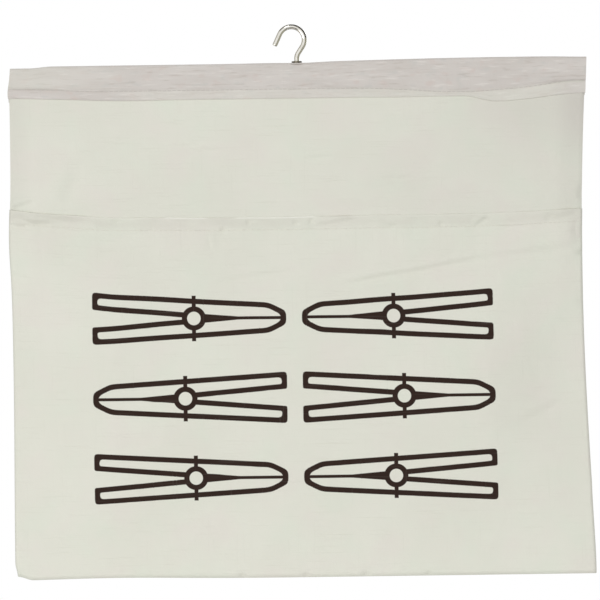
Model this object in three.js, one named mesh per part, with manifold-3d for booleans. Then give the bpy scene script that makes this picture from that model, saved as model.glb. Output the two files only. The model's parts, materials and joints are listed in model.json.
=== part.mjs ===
// A cloth peg bag that hangs by a wire hook from a wooden bar sewn into the top of the bag.
// Millimetres, +Z up, front towards -Y. The origin is the seat of the hook, where it rests on a line.
import * as THREE from "three";
import { mergeVertices } from "three/addons/utils/BufferGeometryUtils.js";
import Module from "manifold-3d";

// Cloth and sewing
const CLOTH = 1.0; // one layer of the woven cloth
const CLEARANCE = 0.3; // gap between neighbouring pieces
const BAG_WIDTH = 370;
const BAG_HEIGHT = 330; // top of the casing to the bottom edge
const CASING_LAP = 8.5; // sewn edge of the casing below the bar
const CASING_CORNER = 2.6; // radius of the cloth where it folds over the bar
const MOUTH_DROP = 99; // top of the casing to the lip of the pocket
const MOUTH_OVERLAP = 25; // length of the upper panel that hangs inside the pocket
const MOUTH_GAP = 6.7; // front to back, between the upper panel and the pocket's hem
const MOUTH_END_GAP = 0.7; // the same at both ends of the mouth
const UPPER_DEPTH = 4; // how far the upper panel stands out from the side seams
const UPPER_ROUND = 8; // width of its rounded sides
const UPPER_SLOPE = 32; // height over which it comes forward below the casing
const POCKET_ROUND = 8; // width of the rounded sides of the pocket front
const POCKET_SWELL = 70; // width over which it swells to its full depth from each side
const POCKET_BOTTOM_ROUND = 6; // height of its rounded bottom
const POCKET_BOTTOM_SWELL = 120; // height over which it swells to its full depth from the bottom
const HEM = 9; // height of the folded hems at the mouth
const SEAM_ALLOWANCE = 10; // width of the sewn edges inside the bag
const SEAM_INSET = 0.5; // from the outside of the bag to the sewn edges

// Hanger bar
const BAR_END_GAP = 9; // from each end of the casing to the bar
const BAR_HEIGHT = 12;
const BAR_THICKNESS = 8;
const BAR_CORNER = 1.5;

// Hook
const WIRE = 3.2; // diameter
const BEND_RADIUS = 8.3; // middle of the wire
const BEND_OFFSET = 3.3; // from the middle of the bend across to the stem
const NECK_ANGLE = THREE.MathUtils.degToRad(33); // neck to the stem
const NECK_FILLET = 6; // radius where the neck turns into the stem
const TIP_ANGLE = THREE.MathUtils.degToRad(24.5); // tip to the vertical
const TIP_LENGTH = 8;
const STEM = 4.85; // from the corner of the neck down to the casing
const HEAD_LIP = 0.7; // riveted head past the wire, all round
const HEAD_HEIGHT = 1.4;

// Ferrule and washer that the hook turns in
const TURNING_CLEARANCE = 0.25; // round the wire
const FERRULE_WALL = 0.5;
const FERRULE_LENGTH = 5; // below the flange
const FLANGE_LIP = 1.1; // flange past the barrel, all round
const FLANGE_HEIGHT = 0.9;
const WASHER_LIP = 1.0; // washer past the wire, all round
const WASHER_HEIGHT = 0.8;

// Smoothness
const WIRE_SIDES = 12;
const WIRE_STEPS = 60;
const ROUND_SIDES = 32;
const ARC_STEPS = 4; // facets of a rounded cloth edge
const FLAT_COLUMNS = 8; // facets across the flat of a panel
const SWELL_STEPS = 6; // facets of a side that swells

// Heights, from the top of the casing down
const barTop = -CLOTH - CLEARANCE;
const barBottom = barTop - BAR_HEIGHT;
const panelTop = barBottom - CLEARANCE;
const casingBottom = barBottom - CLEARANCE - CASING_LAP;
const mouth = -MOUTH_DROP;
const upperBottom = mouth - MOUTH_OVERLAP;
const bagBottom = -BAG_HEIGHT;

// Layers, from back to front
const backFront = CLEARANCE / 2; // front face of the back panel
const backRear = backFront + CLOTH;
const seamRear = -CLEARANCE / 2;
const seamFront = seamRear - 2 * CLOTH; // two layers are sewn together
const rim = seamFront - CLEARANCE; // plane where the front panels meet the side seams
const hemInset = CLOTH + CLEARANCE; // from a panel's outer face to its hem
const pocketDepth = UPPER_DEPTH + MOUTH_GAP + CLOTH + hemInset;
const pocketEdgeDepth = UPPER_DEPTH + MOUTH_END_GAP + CLOTH + hemInset;
const tuck = hemInset + CLOTH + CLEARANCE; // the upper panel narrows by this to enter the pocket
const halfWidth = BAG_WIDTH / 2;

// Round parts of the hook
const wireRadius = WIRE / 2;
const boreRadius = wireRadius + TURNING_CLEARANCE;
const barrelRadius = boreRadius + FERRULE_WALL;
const flangeRadius = barrelRadius + FLANGE_LIP;
const barrelHole = barrelRadius + CLEARANCE;
const washerRadius = wireRadius + WASHER_LIP;
const headRadius = wireRadius + HEAD_LIP;
const recessRadius = Math.max(washerRadius, headRadius) + CLEARANCE;
const recessTop = barBottom + WASHER_HEIGHT + HEAD_HEIGHT + 3 * CLEARANCE;
const washerTop = recessTop - CLEARANCE;
const headTop = washerTop - WASHER_HEIGHT - CLEARANCE;

const wasm = await Module();
wasm.setup();

// A closed geometry as a solid that can be joined and cut.
function toSolid(geometry) {
  const bare = geometry.clone();
  bare.deleteAttribute("normal");
  bare.deleteAttribute("uv");
  const merged = mergeVertices(bare, 1e-4);
  const vertProperties = new Float32Array(merged.attributes.position.array);
  const triVerts = new Uint32Array(merged.index.array);
  return new wasm.Manifold(new wasm.Mesh({ numProp: 3, vertProperties, triVerts }));
}

// The solid back as a geometry, flat shaded.
function toGeometry(solid) {
  const { vertProperties, triVerts } = solid.getMesh();
  const geometry = new THREE.BufferGeometry();
  geometry.setAttribute("position", new THREE.BufferAttribute(vertProperties, 3));
  geometry.setIndex(new THREE.BufferAttribute(triVerts, 1));
  const flat = geometry.toNonIndexed();
  flat.computeVertexNormals();
  return flat;
}

function upright(radius, bottom, top) {
  const cylinder = new THREE.CylinderGeometry(radius, radius, top - bottom, ROUND_SIDES);
  return cylinder.rotateX(Math.PI / 2).translate(0, 0, (bottom + top) / 2);
}

// A ring about the Z axis, turned from its section of [radius, height] corners.
function turnedRing(corners) {
  const profile = [...corners, corners[0]].map(([r, z]) => new THREE.Vector2(r, z));
  return new THREE.LatheGeometry(profile, ROUND_SIDES).rotateX(Math.PI / 2);
}

// A closed Y-Z outline run along X, centred on the bag.
function runAcross(outline, length) {
  const bar = new THREE.ExtrudeGeometry(outline, { depth: length, bevelEnabled: false });
  const acrossX = new THREE.Matrix4().makeBasis(
    new THREE.Vector3(0, 1, 0),
    new THREE.Vector3(0, 0, 1),
    new THREE.Vector3(1, 0, 0),
  );
  return bar.applyMatrix4(acrossX).translate(-length / 2, 0, 0);
}

// A folded layer of cloth seen end on: a line of [y, z] points given its thickness, mitred at the folds.
function foldedCloth(line) {
  const points = line.map(([y, z]) => new THREE.Vector2(y, z));
  const across = (a, b) => new THREE.Vector2(a.y - b.y, b.x - a.x).normalize();
  const side = (sign) =>
    points.map((p, i) => {
      const before = i > 0 ? across(points[i - 1], p) : across(p, points[i + 1]);
      const after = i < points.length - 1 ? across(p, points[i + 1]) : before;
      const mitre = before.clone().add(after).normalize();
      return p.clone().addScaledVector(mitre, (sign * CLOTH) / 2 / mitre.dot(after));
    });
  return new THREE.Shape([...side(1), ...side(-1).reverse()]);
}

// Points of an arc from one angle to another, in radians.
function arcPoints(y, z, radius, from, to) {
  return Array.from({ length: ARC_STEPS + 1 }, (_, i) => {
    const angle = from + ((to - from) * i) / ARC_STEPS;
    return [y + radius * Math.cos(angle), z + radius * Math.sin(angle)];
  });
}

// Stations along a rounded edge: how far in from the edge, and how far out of the seam, each as a share.
const edgeStations = Array.from({ length: ARC_STEPS + 1 }, (_, i) => {
  const angle = (i / ARC_STEPS) * (Math.PI / 2);
  return { inward: 1 - Math.cos(angle), out: Math.sin(angle) };
});

// Columns across a panel that is rounded at both sides: x and share of the depth.
function panelColumns(half, round) {
  const left = edgeStations.map((s) => ({ x: -half + round * s.inward, out: s.out }));
  const right = left.map((c) => ({ x: -c.x, out: c.out })).reverse();
  const flat = [];
  for (let i = 1; i < FLAT_COLUMNS; i++) {
    flat.push({ x: THREE.MathUtils.lerp(-half + round, half - round, i / FLAT_COLUMNS), out: 1 });
  }
  return [...left, ...flat, ...right];
}

// A closed shell between an outer and an inner grid of points, rows from the bottom up, columns from left to right.
function shellBetween(outer, inner) {
  const rows = outer.length;
  const columns = outer[0].length;
  const position = [...outer.flat(), ...inner.flat()].flatMap((p) => p.toArray());
  const at = (layer, row, column) => (layer * rows + row) * columns + column;
  const index = [];
  const quad = (a, b, c, d) => index.push(a, b, c, a, c, d);
  for (let r = 0; r + 1 < rows; r++) {
    for (let c = 0; c + 1 < columns; c++) {
      quad(at(0, r, c), at(0, r, c + 1), at(0, r + 1, c + 1), at(0, r + 1, c));
      quad(at(1, r, c), at(1, r + 1, c), at(1, r + 1, c + 1), at(1, r, c + 1));
    }
    const last = columns - 1;
    quad(at(0, r, 0), at(0, r + 1, 0), at(1, r + 1, 0), at(1, r, 0));
    quad(at(0, r, last), at(1, r, last), at(1, r + 1, last), at(0, r + 1, last));
  }
  for (let c = 0; c + 1 < columns; c++) {
    const top = rows - 1;
    quad(at(0, 0, c), at(1, 0, c), at(1, 0, c + 1), at(0, 0, c + 1));
    quad(at(0, top, c), at(0, top, c + 1), at(1, top, c + 1), at(1, top, c));
  }
  const geometry = new THREE.BufferGeometry();
  geometry.setAttribute("position", new THREE.Float32BufferAttribute(position, 3));
  geometry.setIndex(index);
  const flat = geometry.toNonIndexed();
  flat.computeVertexNormals();
  return flat;
}

// Wire hook: shank through the bar, stem, slanting neck, bend and tip, in the X-Z plane.
const neckLength = (BEND_RADIUS * Math.cos(NECK_ANGLE) - BEND_OFFSET) / Math.sin(NECK_ANGLE);
const bendHeight = -(BEND_RADIUS - wireRadius); // middle of the bend, below the seat
const neckCorner = bendHeight - BEND_RADIUS * Math.sin(NECK_ANGLE) - neckLength * Math.cos(NECK_ANGLE);
const hookRise = STEM - neckCorner; // from the top of the casing up to the seat

class HookLine extends THREE.Curve {
  constructor(path) {
    super();
    this.path = path;
  }
  getPoint(t, target = new THREE.Vector3()) {
    const { x, y } = this.path.getPoint(t);
    return target.set(x, 0, y);
  }
}

function hookGeometry() {
  const filletStart = neckCorner - NECK_FILLET * Math.tan(NECK_ANGLE / 2);
  const tipTurn = Math.PI - TIP_ANGLE;
  const tipStart = new THREE.Vector2(Math.cos(tipTurn), Math.sin(tipTurn)).multiplyScalar(BEND_RADIUS);
  const line = new THREE.Path();
  line.moveTo(BEND_OFFSET, headTop - HEAD_HEIGHT / 2 - hookRise);
  line.lineTo(BEND_OFFSET, filletStart);
  line.absarc(BEND_OFFSET + NECK_FILLET, filletStart, NECK_FILLET, Math.PI, Math.PI - NECK_ANGLE, true);
  line.absarc(0, bendHeight, BEND_RADIUS, -NECK_ANGLE, tipTurn, false);
  line.lineTo(
    tipStart.x - TIP_LENGTH * Math.sin(TIP_ANGLE),
    bendHeight + tipStart.y - TIP_LENGTH * Math.cos(TIP_ANGLE),
  );
  const section = new THREE.Shape();
  section.absarc(0, 0, wireRadius, 0, 2 * Math.PI, false);
  const wire = new THREE.ExtrudeGeometry(section, {
    steps: WIRE_STEPS,
    curveSegments: WIRE_SIDES,
    extrudePath: new HookLine(line),
  });
  const head = upright(headRadius, headTop - HEAD_HEIGHT, headTop).translate(BEND_OFFSET, 0, -hookRise);
  return toGeometry(toSolid(wire).add(toSolid(head)));
}

// Flanged ferrule: lines the hole in the casing and the top of the bar.
function ferruleGeometry() {
  const underFlange = CLEARANCE;
  const top = underFlange + FLANGE_HEIGHT;
  return turnedRing([
    [boreRadius, -FERRULE_LENGTH],
    [barrelRadius, -FERRULE_LENGTH],
    [barrelRadius, underFlange],
    [flangeRadius, underFlange],
    [flangeRadius, underFlange + FLANGE_HEIGHT / 2],
    [(barrelRadius + flangeRadius) / 2, top],
    [boreRadius, top],
  ]);
}

// Washer under the bar that the riveted end of the hook turns on.
function washerGeometry() {
  return turnedRing([
    [boreRadius, washerTop - WASHER_HEIGHT],
    [washerRadius, washerTop - WASHER_HEIGHT],
    [washerRadius, washerTop],
    [boreRadius, washerTop],
  ]);
}

// Wooden bar with eased edges, bored for the hook, its ferrule and its riveted end.
function barGeometry() {
  const y = BAR_THICKNESS / 2 - BAR_CORNER;
  const low = barBottom + BAR_CORNER;
  const high = barTop - BAR_CORNER;
  const section = new THREE.Shape();
  section.absarc(y, low, BAR_CORNER, -Math.PI / 2, 0, false);
  section.absarc(y, high, BAR_CORNER, 0, Math.PI / 2, false);
  section.absarc(-y, high, BAR_CORNER, Math.PI / 2, Math.PI, false);
  section.absarc(-y, low, BAR_CORNER, Math.PI, 1.5 * Math.PI, false);
  section.closePath();
  const outline = new THREE.Shape(section.getPoints(ARC_STEPS));
  const past = BAR_CORNER; // the cuts run this far past the faces of the bar
  return toGeometry(
    toSolid(runAcross(outline, BAG_WIDTH - 2 * BAR_END_GAP))
      .subtract(toSolid(upright(boreRadius, barBottom - past, barTop + past)))
      .subtract(toSolid(upright(barrelHole, -FERRULE_LENGTH - CLEARANCE, barTop + past)))
      .subtract(toSolid(upright(recessRadius, barBottom - past, recessTop))),
  );
}

// Casing: a strip folded over the bar, its two edges sewn down on the front and the back of the bag.
function casingGeometry() {
  const overBar = BAR_THICKNESS / 2 + CLEARANCE + CLOTH / 2;
  const frontLap = rim - CLOTH - CLEARANCE - CLOTH / 2;
  const rearLap = backRear + CLEARANCE + CLOTH / 2;
  const top = -CLOTH / 2;
  const corner = CASING_CORNER - CLOTH / 2;
  const underBar = barBottom - CLEARANCE;
  const outline = foldedCloth([
    [frontLap, casingBottom],
    [frontLap, underBar - Math.abs(overBar + frontLap)],
    [-overBar, underBar],
    ...arcPoints(corner - overBar, top - corner, corner, Math.PI, Math.PI / 2),
    ...arcPoints(overBar - corner, top - corner, corner, Math.PI / 2, 0),
    [overBar, underBar],
    [rearLap, underBar - Math.abs(overBar - rearLap)],
    [rearLap, casingBottom],
  ]);
  const hole = upright(barrelHole, barTop, CLOTH);
  return toGeometry(toSolid(runAcross(outline, BAG_WIDTH)).subtract(toSolid(hole)));
}

// Back of the bag: one flat panel, from under the bar to the bottom edge.
function backGeometry() {
  const height = panelTop - bagBottom;
  const panel = new THREE.BoxGeometry(BAG_WIDTH, CLOTH, height);
  return panel.translate(0, (backFront + backRear) / 2, (panelTop + bagBottom) / 2);
}

// A layer of the upper panel. Inset is how far the layer lies inside the panel's outer face.
function upperLayer(inset, heights) {
  return heights.map((z) => {
    const share = THREE.MathUtils.smoothstep(-z, -casingBottom, UPPER_SLOPE - casingBottom);
    const half = halfWidth - (z < mouth + CLOTH ? tuck : 0) - inset * share;
    const flatDepth = CLOTH - inset;
    return panelColumns(half, UPPER_ROUND - inset * share).map(({ x, out }) => {
      const depth = THREE.MathUtils.lerp(flatDepth, (UPPER_DEPTH - inset) * out, share);
      return new THREE.Vector3(x, rim - depth, z);
    });
  });
}

// Upper front panel: sewn under the casing, comes forward, and hangs behind the lip of the pocket.
function upperPanelGeometry() {
  const slopeSteps = 6;
  const slope = Array.from(
    { length: slopeSteps + 1 },
    (_, i) => casingBottom - (UPPER_SLOPE * (slopeSteps - i)) / slopeSteps,
  );
  const heights = [upperBottom, mouth + CLEARANCE, mouth + 2 * CLOTH, ...slope, panelTop];
  return shellBetween(upperLayer(0, heights), upperLayer(CLOTH, heights));
}

// Its hem: the lower edge turned up on the inside, across the flat of the panel.
function upperHemGeometry() {
  const flatWidth = 2 * (halfWidth - tuck - UPPER_ROUND);
  const front = rim - UPPER_DEPTH + hemInset;
  return new THREE.BoxGeometry(flatWidth, CLOTH, HEM).translate(0, front + CLOTH / 2, upperBottom + HEM / 2);
}

// Stations over a swelling side: the share of its width, and the share of the swell reached there.
const swellStations = Array.from({ length: SWELL_STEPS }, (_, i) => {
  const inward = (i + 1) / SWELL_STEPS;
  return { inward, swell: THREE.MathUtils.smoothstep(inward, 0, 1) };
});

// Columns across the pocket front: rounded sides, then the swell on both sides of the flat middle.
function pocketColumns(inset) {
  const half = halfWidth - inset;
  const left = [
    ...edgeStations.map((s) => ({ x: -half + (POCKET_ROUND - inset) * s.inward, out: s.out, swell: 0 })),
    ...swellStations.map((s) => ({
      x: POCKET_ROUND - halfWidth + POCKET_SWELL * s.inward,
      out: 1,
      swell: s.swell,
    })),
  ];
  return [...left, ...left.map((c) => ({ ...c, x: -c.x })).reverse()];
}

// A layer of the pocket front over stations of height. Inset is how far it lies inside the outer face.
function pocketLayer(inset, stations) {
  const columns = pocketColumns(inset);
  return stations.map(({ z, out, swell }) =>
    columns.map((c) => {
      const depth = THREE.MathUtils.lerp(pocketEdgeDepth, pocketDepth, c.swell * swell);
      return new THREE.Vector3(c.x, rim - (depth - inset) * c.out * out, z);
    }),
  );
}

// Pocket front: the lower front panel, swollen in the middle and rounded back to its sides and bottom.
function pocketFrontGeometry() {
  const stations = (inset) => [
    ...edgeStations.map((s) => ({
      z: bagBottom + inset + (POCKET_BOTTOM_ROUND - inset) * s.inward,
      out: s.out,
      swell: 0,
    })),
    ...swellStations.map((s) => ({
      z: bagBottom + POCKET_BOTTOM_ROUND + POCKET_BOTTOM_SWELL * s.inward,
      out: 1,
      swell: s.swell,
    })),
    { z: mouth, out: 1, swell: 1 },
  ];
  return shellBetween(pocketLayer(0, stations(0)), pocketLayer(CLOTH, stations(CLOTH)));
}

// Hem of the mouth: the top edge of the pocket front turned down on the inside.
function mouthHemGeometry() {
  const stations = [mouth - HEM, mouth].map((z) => ({ z, out: 1, swell: 1 }));
  return shellBetween(pocketLayer(hemInset, stations), pocketLayer(hemInset + CLOTH, stations));
}

// The sewn edges of the panels, turned inside the bag.
function seamGeometry(width, height) {
  return new THREE.BoxGeometry(width, seamRear - seamFront, height);
}

// Materials
const linen = new THREE.MeshStandardMaterial({ color: 0xdcddd2, roughness: 0.92, metalness: 0 });
const casingLinen = new THREE.MeshStandardMaterial({ color: 0xcec8c1, roughness: 0.92, metalness: 0 });
const plate = new THREE.MeshStandardMaterial({ color: 0xc9c6b8, roughness: 0.22, metalness: 1 });
const wood = new THREE.MeshStandardMaterial({ color: 0xb98f5f, roughness: 0.7, metalness: 0 });

function piece(name, geometry, material) {
  const mesh = new THREE.Mesh(geometry, material);
  mesh.name = name;
  return mesh;
}

// The bag hangs below the hook, on the line of its stem.
const bag = new THREE.Group();
bag.position.set(BEND_OFFSET, 0, -hookRise);
bag.add(
  piece("hook_ferrule", ferruleGeometry(), plate),
  piece("hook_washer", washerGeometry(), plate),
  piece("hanger_bar", barGeometry(), wood),
  piece("top_casing", casingGeometry(), casingLinen),
  piece("back_panel", backGeometry(), linen),
  piece("upper_front_panel", upperPanelGeometry(), linen),
  piece("upper_panel_hem", upperHemGeometry(), linen),
  piece("pocket_front_panel", pocketFrontGeometry(), linen),
  piece("pocket_mouth_hem", mouthHemGeometry(), linen),
);

const seamMiddle = (seamRear + seamFront) / 2;
const sideSeamHeight = panelTop - bagBottom - SEAM_INSET;
for (const [name, side] of [["left_side_seam", -1], ["right_side_seam", 1]]) {
  const seam = piece(name, seamGeometry(SEAM_ALLOWANCE, sideSeamHeight), linen);
  const x = halfWidth - SEAM_INSET - SEAM_ALLOWANCE / 2;
  seam.position.set(side * x, seamMiddle, panelTop - sideSeamHeight / 2);
  bag.add(seam);
}
const bottomSeamWidth = BAG_WIDTH - 2 * (SEAM_INSET + SEAM_ALLOWANCE + CLEARANCE);
const bottomSeam = piece("bottom_seam", seamGeometry(bottomSeamWidth, SEAM_ALLOWANCE), linen);
bottomSeam.position.set(0, seamMiddle, bagBottom + SEAM_INSET + SEAM_ALLOWANCE / 2);
bag.add(bottomSeam);

const pegBag = new THREE.Group();
pegBag.add(piece("hook", hookGeometry(), plate), bag);

export default pegBag;
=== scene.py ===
import json
from math import cos, exp, pi, radians, sin, tan

import bmesh
import bpy
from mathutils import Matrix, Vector, noise
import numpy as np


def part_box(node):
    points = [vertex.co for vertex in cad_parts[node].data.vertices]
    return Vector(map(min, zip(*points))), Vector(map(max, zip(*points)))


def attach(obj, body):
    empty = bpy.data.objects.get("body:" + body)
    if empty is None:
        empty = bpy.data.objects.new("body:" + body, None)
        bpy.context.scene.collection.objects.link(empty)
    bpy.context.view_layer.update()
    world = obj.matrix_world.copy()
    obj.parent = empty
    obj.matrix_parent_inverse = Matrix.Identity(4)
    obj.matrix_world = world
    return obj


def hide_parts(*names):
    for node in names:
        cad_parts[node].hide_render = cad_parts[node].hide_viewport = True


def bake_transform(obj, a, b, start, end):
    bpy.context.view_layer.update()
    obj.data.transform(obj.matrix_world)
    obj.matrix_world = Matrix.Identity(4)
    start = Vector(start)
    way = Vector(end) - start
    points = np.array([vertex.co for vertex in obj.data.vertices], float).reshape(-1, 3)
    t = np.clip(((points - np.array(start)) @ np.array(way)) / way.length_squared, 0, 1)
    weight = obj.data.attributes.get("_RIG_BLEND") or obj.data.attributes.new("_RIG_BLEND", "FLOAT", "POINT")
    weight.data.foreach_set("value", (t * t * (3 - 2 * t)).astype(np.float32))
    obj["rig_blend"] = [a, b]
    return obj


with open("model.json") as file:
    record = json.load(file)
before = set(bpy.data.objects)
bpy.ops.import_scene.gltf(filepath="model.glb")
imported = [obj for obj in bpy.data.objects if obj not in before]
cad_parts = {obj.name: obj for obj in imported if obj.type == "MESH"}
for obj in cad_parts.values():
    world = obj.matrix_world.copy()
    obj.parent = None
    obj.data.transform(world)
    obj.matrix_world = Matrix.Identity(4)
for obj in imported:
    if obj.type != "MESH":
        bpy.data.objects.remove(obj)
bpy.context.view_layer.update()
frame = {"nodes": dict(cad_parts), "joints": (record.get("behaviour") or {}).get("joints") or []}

# Hook: one length of steel wire, bent cold to an open hook on an offset neck and nickel plated.
# Its shank goes down through the ferrule and the bar, and its lower end is riveted over a washer,
# so the bag turns freely below it.
MM = 0.001
wire_radius = 1.6
bend_radius = 8.3
neck_angle = radians(33)
neck_fillet = 6.0
tip_angle = radians(24.5)
tip_length = 8.0
head_radius = 2.3
head_height = 1.4
wire_sides = 28
nickel_colour = (0.8, 0.78, 0.72, 1)
nickel_dull_colour = (0.58, 0.55, 0.48, 1)


class Tone:
    """One value in a finish. Arithmetic on tones adds the Math nodes that work it out."""

    def __init__(self, tree, socket=None):
        self.tree = tree
        self.socket = socket

    def node(self, kind, settings=None, inputs=None, output=0):
        """Adds a node: first its settings, then the values or links of its sockets."""
        made = self.tree.nodes.new(kind)
        for name, value in (settings or {}).items():
            setattr(made, name, value)
        for name, value in (inputs or {}).items():
            if isinstance(value, Tone):
                self.tree.links.new(value.socket, made.inputs[name])
            else:
                made.inputs[name].default_value = value
        return Tone(self.tree, made.outputs[output] if made.outputs else None)

    def math(self, operation, *terms):
        return self.node("ShaderNodeMath", {"operation": operation}, dict(enumerate(terms)))

    def __add__(self, other):
        return self.math("ADD", self, other)

    def __radd__(self, other):
        return self.math("ADD", other, self)

    def __sub__(self, other):
        return self.math("SUBTRACT", self, other)

    def __rsub__(self, other):
        return self.math("SUBTRACT", other, self)

    def __mul__(self, other):
        return self.math("MULTIPLY", self, other)

    def __rmul__(self, other):
        return self.math("MULTIPLY", other, self)

    def __truediv__(self, other):
        return self.math("DIVIDE", self, other)

    def __rtruediv__(self, other):
        return self.math("DIVIDE", other, self)

    def __abs__(self):
        return self.math("ABSOLUTE", self)

    def __neg__(self):
        return self.math("MULTIPLY", self, -1)

    def sine(self):
        return self.math("SINE", self)

    def root(self):
        return self.math("SQRT", self)

    def floor(self):
        return self.math("FLOOR", self)

    def fraction(self):
        return self.math("FRACT", self)

    def least(self, other):
        return self.math("MINIMUM", self, other)

    def most(self, other):
        return self.math("MAXIMUM", self, other)

    def round_most(self, other, reach):
        """The most of two, with the corner between them rounded off."""
        return self.math("SMOOTH_MAX", self, other, reach)

    def ease(self, low, high):
        """From 0 at low to 1 at high, with soft ends."""
        ends = {"Value": self, "From Min": low, "From Max": high}
        return self.node("ShaderNodeMapRange", {"interpolation_type": "SMOOTHSTEP"}, ends)

    def noise(self, scale, detail=2.0):
        """Noise from 0 to 1 at this tone's vector."""
        return self.node("ShaderNodeTexNoise", None, {"Vector": self, "Scale": scale, "Detail": detail})

    def stretch(self, x, y, z):
        """This tone's vector, scaled by its own amount each way."""
        return self.node("ShaderNodeVectorMath", {"operation": "MULTIPLY"}, {0: self, 1: (x, y, z)})

    def shift(self, x, y, z):
        """This tone's vector, moved."""
        return self.node("ShaderNodeVectorMath", {"operation": "ADD"}, {0: self, 1: (x, y, z)})

    def mix(self, first, second):
        """A colour between the first and the second, by this tone."""
        ends = {0: self, 6: first, 7: second}
        return self.node("ShaderNodeMix", {"data_type": "RGBA"}, ends, output=2)

    def bump(self, strength, depth):
        """A normal that is bent as if this tone were a height. The depth is in mm."""
        inputs = {"Height": self, "Strength": strength, "Distance": depth * MM}
        return self.node("ShaderNodeBump", None, inputs)


def new_finish(name):
    """An empty material, and a tone to start its nodes from."""
    material = bpy.data.materials.new(name)
    material.use_nodes = True
    material.node_tree.nodes.clear()
    return material, Tone(material.node_tree)


def close_finish(start, inputs):
    shader = start.node("ShaderNodeBsdfPrincipled", None, inputs)
    start.node("ShaderNodeOutputMaterial", None, {"Surface": shader})


def nickel(name, bright, dull, polish):
    """Plated metal: fine handling marks, and a film that dulls it in patches."""
    material, start = new_finish(name)
    place = start.node("ShaderNodeTexCoord", output=3)
    film = place.noise(260, 4).ease(0.42, 0.72)
    marks = place.noise(2400, 3)
    inputs = {
        "Base Color": (film * 0.45).mix(bright, dull),
        "Metallic": 1.0,
        "Roughness": polish + film * 0.12 + marks * 0.05,
        "Normal": marks.bump(0.1, 0.05),
    }
    close_finish(start, inputs)
    return material


def show(name, mesh, finish):
    """Puts a mesh in the scene as a piece with one finish."""
    piece = bpy.data.objects.new(name, mesh)
    bpy.context.scene.collection.objects.link(piece)
    mesh.materials.clear()
    mesh.materials.append(finish)
    return piece


def shade(mesh, sharp):
    """Smooth shading, but for edges that turn more than sharp degrees. Faces are made to point out."""
    work = bmesh.new()
    work.from_mesh(mesh)
    loose = [point for point in work.verts if not point.link_faces]
    bmesh.ops.delete(work, geom=loose, context="VERTS")
    bmesh.ops.recalc_face_normals(work, faces=work.faces)
    for face in work.faces:
        face.smooth = True
    for edge in work.edges:
        edge.smooth = edge.calc_face_angle(0) < radians(sharp)
    work.to_mesh(mesh)
    work.free()


def make_piece(name, points, faces, finish, sharp=40):
    """A closed piece from points in mm."""
    mesh = bpy.data.meshes.new(name)
    mesh.from_pydata([Vector(point) * MM for point in points], [], faces)
    shade(mesh, sharp)
    return show(name, mesh, finish)


def arc(x, z, radius, start, end, steps):
    """Points of an arc in the plane of the hook."""
    angles = [start + (end - start) * step / steps for step in range(steps + 1)]
    return [(x + radius * cos(angle), z + radius * sin(angle)) for angle in angles]


def join_rings(rings, sides):
    """Faces between rings of points, with both ends closed."""
    faces = [tuple(range(sides)), tuple(range((rings - 1) * sides, rings * sides))]
    for ring in range(rings - 1):
        for side in range(sides):
            after = (side + 1) % sides
            low = ring * sides
            faces.append((low + side, low + after, low + sides + after, low + sides + side))
    return faces


def bent_wire(name, path, radii, sides, finish):
    """A round wire along a path in the plane of the hook, with its own radius at each point."""
    points = []
    for index, (x, z) in enumerate(path):
        before = path[max(index - 1, 0)]
        after = path[min(index + 1, len(path) - 1)]
        heading = Vector((after[0] - before[0], 0, after[1] - before[1])).normalized()
        for side in range(sides):
            turn = 2 * pi * side / sides
            out = Vector((-heading.z, 0, heading.x)) * cos(turn) + Vector((0, sin(turn), 0))
            points.append(Vector((x, 0, z)) + out * radii[index])
    return make_piece(name, points, join_rings(len(path), sides), finish)


swivel = next(joint for joint in frame["joints"] if joint["name"] == "bag_swivel")
stem_x = swivel["pos_m"][0] / MM
foot_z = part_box("hook")[0].z / MM
bend_z = wire_radius - bend_radius
neck_length = (bend_radius * cos(neck_angle) - stem_x) / sin(neck_angle)
corner_z = bend_z - bend_radius * sin(neck_angle) - neck_length * cos(neck_angle)
shank_top = corner_z - neck_fillet * tan(neck_angle / 2)
head_profile = [(0, 0.55), (0.12, 0.78), (0.35, 0.93), (0.6, 1), (1.15, 1), (1.35, 0.93)]
wire_path = [(stem_x, foot_z + height) for height, share in head_profile]
wire_radii = [head_radius * share for height, share in head_profile]
wire_path += [(stem_x, foot_z + head_height), (stem_x, foot_z + head_height + 1)]
wire_path += arc(stem_x + neck_fillet, shank_top, neck_fillet, pi, pi - neck_angle, 8)
wire_path += arc(0, bend_z, bend_radius, -neck_angle, pi - tip_angle, 64)
tip_heading = Vector((-sin(tip_angle), -cos(tip_angle)))
tip_start = Vector(wire_path[-1])
tip_rounding = [(0.5, 1), (0.28, 0.96), (0.12, 0.86), (0.03, 0.7), (0, 0.5)]
wire_radii += [wire_radius] * (len(wire_path) - len(wire_radii))
for from_end, share in tip_rounding:
    wire_path.append(tuple(tip_start + tip_heading * (tip_length - from_end * wire_radius)))
    wire_radii.append(wire_radius * share)
hook_finish = nickel("bright_nickel", nickel_colour, nickel_dull_colour, 0.07)
hook_wire = bent_wire("hook_wire", wire_path, wire_radii, wire_sides, hook_finish)
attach(hook_wire, "hook")
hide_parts("hook")

# Ferrule: a short flanged tube drawn from thin brass and nickel plated. It is pressed through the
# casing into the bar, keeps the cloth from fraying and is the bearing that the hook turns in.
ferrule_bore = wire_radius + 0.25
ferrule_outer = 2.35
flange_radius = 3.45
flange_height = 0.9
ferrule_sides = 48
ferrule_colour = (0.32, 0.29, 0.23, 1)
ferrule_dull_colour = (0.16, 0.14, 0.1, 1)


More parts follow.
